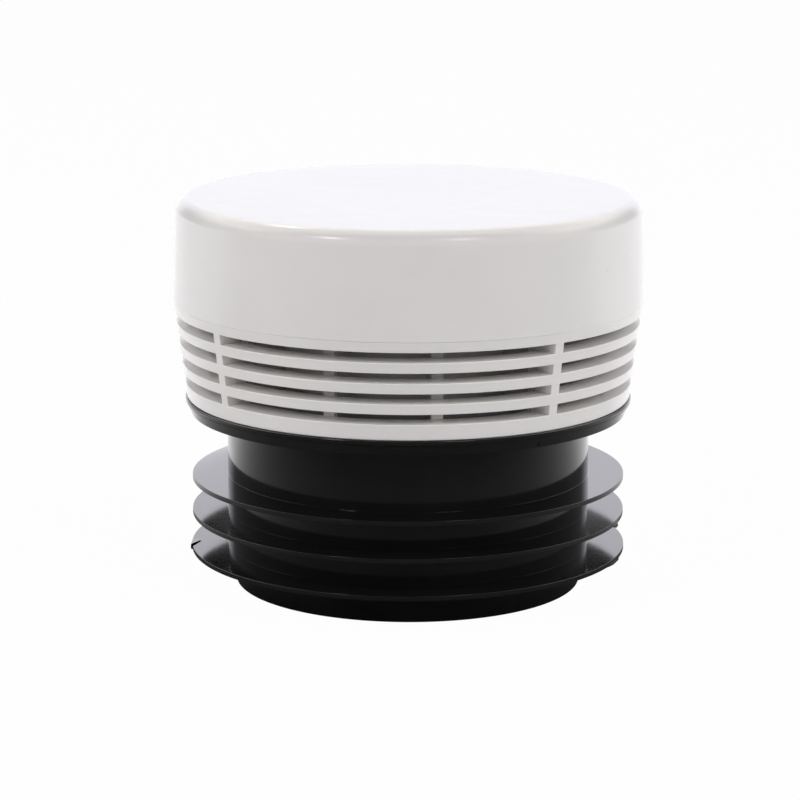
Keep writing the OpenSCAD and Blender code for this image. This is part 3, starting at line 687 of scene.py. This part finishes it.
def makeFloor(values):
    # a level sheet that is white to the camera, and keeps some of the object's shadow
    half = values["size"] / 2
    mesh = bpy.data.meshes.new("floor")
    corners = [(-half, -half, 0), (half, -half, 0), (half, half, 0), (-half, half, 0)]
    mesh.from_pydata(corners, [], [(0, 1, 2, 3)])
    material = bpy.data.materials.new("floorPaper")
    material.use_nodes = True
    tree = material.node_tree
    tree.nodes.remove(tree.nodes["Principled BSDF"])
    paper = addNode(tree, "ShaderNodeBsdfDiffuse", {"Color": (*values["colour"], 1)})
    glow = addNode(tree, "ShaderNodeEmission", {"Color": (1, 1, 1, 1)})
    rays = addNode(tree, "ShaderNodeLightPath")
    place = addNode(tree, "ShaderNodeTexCoord")
    axes = addNode(tree, "ShaderNodeSeparateXYZ")
    # level in gloss = front apron + behind apron * depth ^ curve; the aprons fade in away from the object,
    # so that close to it gloss sees a painted shadow
    depth = addRamp(tree, values["frontY"], values["behindY"])
    curved = addNode(tree, "ShaderNodeMath", {1: values["curve"]}, operation="POWER")
    squeezed = addNode(tree, "ShaderNodeVectorMath", {1: values["squeeze"]}, operation="MULTIPLY")
    distance = addNode(tree, "ShaderNodeVectorMath", operation="LENGTH")
    frontApron = addRamp(tree, values["frontFrom"], values["frontTo"], values["nearShadow"], values["front"],
                         smooth=True)
    behindApron = addRamp(tree, values["behindFrom"], values["behindTo"],
                          high=values["behind"] - values["front"], smooth=True)
    inGloss = addNode(tree, "ShaderNodeMath", operation="MULTIPLY_ADD")
    strength = addNode(tree, "ShaderNodeMix", {2: 1.0}, data_type="FLOAT")   # 2 and 3 are its two values
    link(tree, (place.outputs["Object"], axes.inputs["Vector"]),
         (axes.outputs["Y"], depth.inputs["Value"]),
         (depth.outputs["Result"], curved.inputs[0]),
         (place.outputs["Object"], squeezed.inputs[0]),
         (squeezed.outputs["Vector"], distance.inputs[0]),
         (distance.outputs["Value"], frontApron.inputs["Value"]),
         (distance.outputs["Value"], behindApron.inputs["Value"]),
         (curved.outputs[0], inGloss.inputs[0]),
         (behindApron.outputs["Result"], inGloss.inputs[1]),
         (frontApron.outputs["Result"], inGloss.inputs[2]),
         (rays.outputs["Is Glossy Ray"], strength.inputs[0]),
         (inGloss.outputs[0], strength.inputs[3]),
         (strength.outputs[0], glow.inputs["Strength"]))
    # the sheet's own light is all that gloss sees, and most of what the camera sees; the rest is lit paper
    seen = addNode(tree, "ShaderNodeMath", operation="ADD", use_clamp=True)
    share = addNode(tree, "ShaderNodeMath", {1: values["ownLight"]}, operation="MULTIPLY")
    ownShare = addNode(tree, "ShaderNodeMath", operation="ADD", use_clamp=True)
    mix = addNode(tree, "ShaderNodeMixShader")
    link(tree, (rays.outputs["Is Camera Ray"], seen.inputs[0]),
         (rays.outputs["Is Transmission Ray"], seen.inputs[1]),
         (seen.outputs[0], share.inputs[0]),
         (share.outputs[0], ownShare.inputs[0]),
         (rays.outputs["Is Glossy Ray"], ownShare.inputs[1]),
         (ownShare.outputs[0], mix.inputs["Fac"]),
         (paper.outputs[0], mix.inputs[1]),
         (glow.outputs[0], mix.inputs[2]),
         (mix.outputs[0], tree.nodes["Material Output"].inputs["Surface"]))
    mesh.materials.append(material)
    floor = bpy.data.objects.new("floor", mesh)
    scene.collection.objects.link(floor)


worldValues = dict(colour=(0.975, 0.975, 1.05), front=0.1, behind=0.45, curve=2.0,
                   panel=1.16, panelFrom=0.78, panelTo=0.94, top=0.06, topFrom=0.45, topTo=0.85,
                   roofColour=(1.0, 0.97, 0.9), roof=2.8, roofZ=(0.28, 0.6), roofY=(-0.25, 0.1))


def makeWorld(values):
    # a soft tent, plain white to the camera: dim on the viewer's side and overhead, with a bright panel
    # straight behind and a warm roof above and behind, which both show only in gloss
    world = bpy.data.worlds.new("tent")
    scene.world = world
    world.use_nodes = True
    tree = world.node_tree
    background = tree.nodes["Background"]
    background.inputs["Color"].default_value = (*values["colour"], 1)
    place = addNode(tree, "ShaderNodeTexCoord")
    axes = addNode(tree, "ShaderNodeSeparateXYZ")
    rays = addNode(tree, "ShaderNodeLightPath")
    # level = front + (behind - front) * depth ^ curve + panel, with depth from 0 in front to 1 behind
    depth = addRamp(tree, -1.0, 1.0)
    curved = addNode(tree, "ShaderNodeMath", {1: values["curve"]}, operation="POWER")
    behind = addNode(tree, "ShaderNodeMath", {1: values["behind"] - values["front"], 2: values["front"]},
                     operation="MULTIPLY_ADD")
    panel = addRamp(tree, values["panelFrom"], values["panelTo"], high=values["panel"], smooth=True)
    panelShown = addNode(tree, "ShaderNodeMath", operation="MULTIPLY")
    withPanel = addNode(tree, "ShaderNodeMath", operation="ADD")
    overhead = addRamp(tree, values["topFrom"], values["topTo"], smooth=True)
    tent = addNode(tree, "ShaderNodeMix", {3: values["top"]}, data_type="FLOAT")   # 2 and 3 are its values
    level = addNode(tree, "ShaderNodeMix", {3: 1.0}, data_type="FLOAT")
    link(tree, (place.outputs["Generated"], axes.inputs["Vector"]),
         (axes.outputs["Y"], depth.inputs["Value"]),
         (depth.outputs["Result"], curved.inputs[0]),
         (curved.outputs[0], behind.inputs[0]),
         (axes.outputs["Y"], panel.inputs["Value"]),
         (panel.outputs["Result"], panelShown.inputs[0]),
         (rays.outputs["Is Glossy Ray"], panelShown.inputs[1]),
         (behind.outputs[0], withPanel.inputs[0]),
         (panelShown.outputs[0], withPanel.inputs[1]),
         (axes.outputs["Z"], overhead.inputs["Value"]),
         (overhead.outputs["Result"], tent.inputs[0]),
         (withPanel.outputs[0], tent.inputs[2]),
         (rays.outputs["Is Camera Ray"], level.inputs[0]),
         (tent.outputs[0], level.inputs[2]),
         (level.outputs[0], background.inputs["Strength"]))
    # the roof's level is the product of its ramps in height and depth
    roof = addNode(tree, "ShaderNodeBackground", {"Color": (*values["roofColour"], 1)})
    high = addRamp(tree, *values["roofZ"], high=values["roof"], smooth=True)
    back = addRamp(tree, *values["roofY"], smooth=True)
    part = addNode(tree, "ShaderNodeMath", operation="MULTIPLY")
    shown = addNode(tree, "ShaderNodeMath", operation="MULTIPLY")
    both = addNode(tree, "ShaderNodeAddShader")
    link(tree, (axes.outputs["Z"], high.inputs["Value"]),
         (axes.outputs["Y"], back.inputs["Value"]),
         (high.outputs["Result"], part.inputs[0]),
         (back.outputs["Result"], part.inputs[1]),
         (part.outputs[0], shown.inputs[0]),
         (rays.outputs["Is Glossy Ray"], shown.inputs[1]),
         (shown.outputs[0], roof.inputs["Strength"]),
         (background.outputs[0], both.inputs[0]),
         (roof.outputs[0], both.inputs[1]),
         (both.outputs[0], tree.nodes["World Output"].inputs["Surface"]))


lampHeight = 0.09   # the lamps face this height on the axis
# each lamp's name, direction from the object, distance, width, height, power, colour, and if gloss shows it:
# the small lamps give the glints, and the large ones light the white plastic evenly
lampValues = (
    ("backLamp", (-0.28, 0.6, 0.76), 1.6, 0.07, 0.06, 1.4, (1, 1, 1), True),
    ("leftLamp", (-0.56, -0.6, 0.667), 1.6, 0.25, 0.08, 3.0, (1, 0.97, 0.93), True),
    ("rightLamp", (0.37, -0.645, 0.667), 1.6, 0.4, 0.28, 2.2, (1, 0.97, 0.95), True),
    ("farLeftLamp", (-0.9, -0.29, 0.31), 1.6, 1.5, 1.1, 9.3, (1, 0.985, 0.98), False),
    ("farRightLamp", (0.9, -0.29, 0.31), 1.6, 1.5, 1.1, 11.8, (1, 0.985, 0.98), False),
    ("fillLamp", (0.0, -0.85, 0.53), 1.6, 1.2, 0.9, 2.2, (1, 0.985, 0.98), False),
)


def makeLamps(lamps):
    # soft boxes that face the cap
    for name, direction, distance, width, height, power, colour, inGloss in lamps:
        lamp = bpy.data.lights.new(name, "AREA")
        lamp.shape, lamp.size, lamp.size_y = "RECTANGLE", width, height
        lamp.energy, lamp.color = power, colour
        holder = bpy.data.objects.new(name, lamp)
        towards = np.array(direction) / np.linalg.norm(direction)
        holder.location = towards * distance + (0, 0, lampHeight)
        holder.rotation_euler = (math.acos(towards[2]), 0, math.atan2(towards[0], -towards[1]))
        holder.visible_glossy = inGloss
        scene.collection.objects.link(holder)


makeFloor(floorValues)
makeWorld(worldValues)
makeLamps(lampValues)
scene.view_settings.view_transform = "Standard"
print("stage made")
